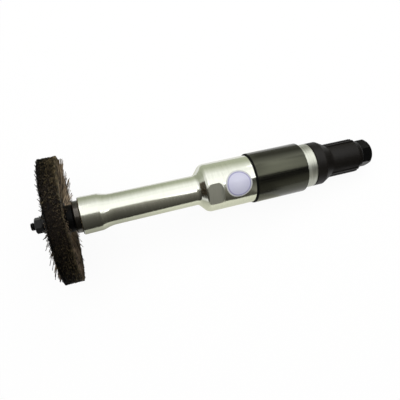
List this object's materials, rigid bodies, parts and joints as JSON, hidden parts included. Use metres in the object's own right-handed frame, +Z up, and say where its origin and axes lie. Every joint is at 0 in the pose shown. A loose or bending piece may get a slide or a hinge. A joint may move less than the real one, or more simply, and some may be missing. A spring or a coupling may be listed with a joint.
{
  "type": "air straight grinder",
  "caption": "Pneumatic straight grinder with a long polished nose, a wire wheel brush on its spindle, a black grip sleeve, a roll throttle and a hexagon air inlet.",
  "frame": {"origin": "on the bench under the middle of the tool's length, the tool lying on its brush and throttle grip", "axes": "+X from the brush to the air inlet along the bench, +Z up; the tool's own axis slopes down to the inlet"},
  "size_m": [0.2917, 0.0998, 0.1002],
  "materials": {
    "polished_aluminium": "polished bright",
    "turned_aluminium": "matte, fine turned",
    "black_oxide_steel": "glossy black oxide",
    "spindle_steel": "ground steel",
    "brush_wire": "dark drawn steel wire",
    "zinc_plated_steel": "zinc plated",
    "bearing_steel": "ground and polished",
    "spring_steel": "plain",
    "felt": "pressed wool felt",
    "motor_iron": "ground",
    "blade_laminate": "cloth laminate",
    "housing_aluminium": "turned",
    "sleeve_plastic": "smooth black",
    "grip_plastic": "fine moulded texture",
    "acetal": "plain",
    "valve_brass": "turned",
    "seal_rubber": "plain"
  },
  "bodies": {
    "housing": {"front_cap": "black_oxide_steel", "felt_seal": "felt", "front_bearing_outer_race": "bearing_steel", "spindle_bearing_outer_race": "bearing_steel", "nose_housing": "polished_aluminium", "spindle_bearing_clip": "spring_steel", "front_end_plate": "motor_iron", "rear_end_plate": "motor_iron", "motor_cylinder": "motor_iron", "cylinder_pin": "spindle_steel", "rotor_front_bearing_outer_race": "bearing_steel", "rotor_rear_bearing_outer_race": "bearing_steel", "motor_housing": "housing_aluminium", "grip_sleeve": "sleeve_plastic", "backhead": "turned_aluminium", "grip_washer": "acetal", "valve_spring": "spring_steel", "inlet_bushing": "black_oxide_steel", "inlet_screen": "valve_brass"},
    "spindle": {"spindle": "black_oxide_steel", "spindle_nut": "black_oxide_steel", "outer_flange": "black_oxide_steel", "inner_flange": "black_oxide_steel", "brush_bush": "zinc_plated_steel", "brush_front_plate": "black_oxide_steel", "brush_rear_plate": "black_oxide_steel", "brush_wires": "brush_wire", "rotor": "spindle_steel", "rotor_blades": "blade_laminate", "front_bearing_inner_race": "bearing_steel", "front_bearing_balls": "bearing_steel", "spindle_bearing_inner_race": "bearing_steel", "spindle_bearing_balls": "bearing_steel", "rotor_front_bearing_inner_race": "bearing_steel", "rotor_front_bearing_balls": "bearing_steel", "rotor_rear_bearing_inner_race": "bearing_steel", "rotor_rear_bearing_balls": "bearing_steel"},
    "throttle": {"throttle_grip": "grip_plastic"},
    "valve": {"throttle_valve": "valve_brass", "valve_seal": "seal_rubber", "valve_o_rings": "seal_rubber", "throttle_pin": "spring_steel"}
  },
  "joints": [
    {"name": "spindle_spin", "type": "hinge", "parent": "housing", "child": "spindle", "pos_m": [-0.10817, 0, 0.04821], "axis": [0.9897, 0, -0.1431], "continuous": true},
    {"name": "throttle_roll", "type": "hinge", "parent": "housing", "child": "throttle", "pos_m": [0.08709, 0, 0.01997], "axis": [0.9897, 0, -0.1431], "range_deg": [0, 60]},
    {"name": "valve_slide", "type": "slide", "parent": "throttle", "child": "valve", "axis": [0.9897, 0, -0.1431], "range_m": [0, 0.005], "deforming": ["valve_spring"]}
  ],
  "couplings": [
    {"joint": "valve_slide", "follows": "throttle_roll", "m_per_rad": 0.004774}
  ]
}
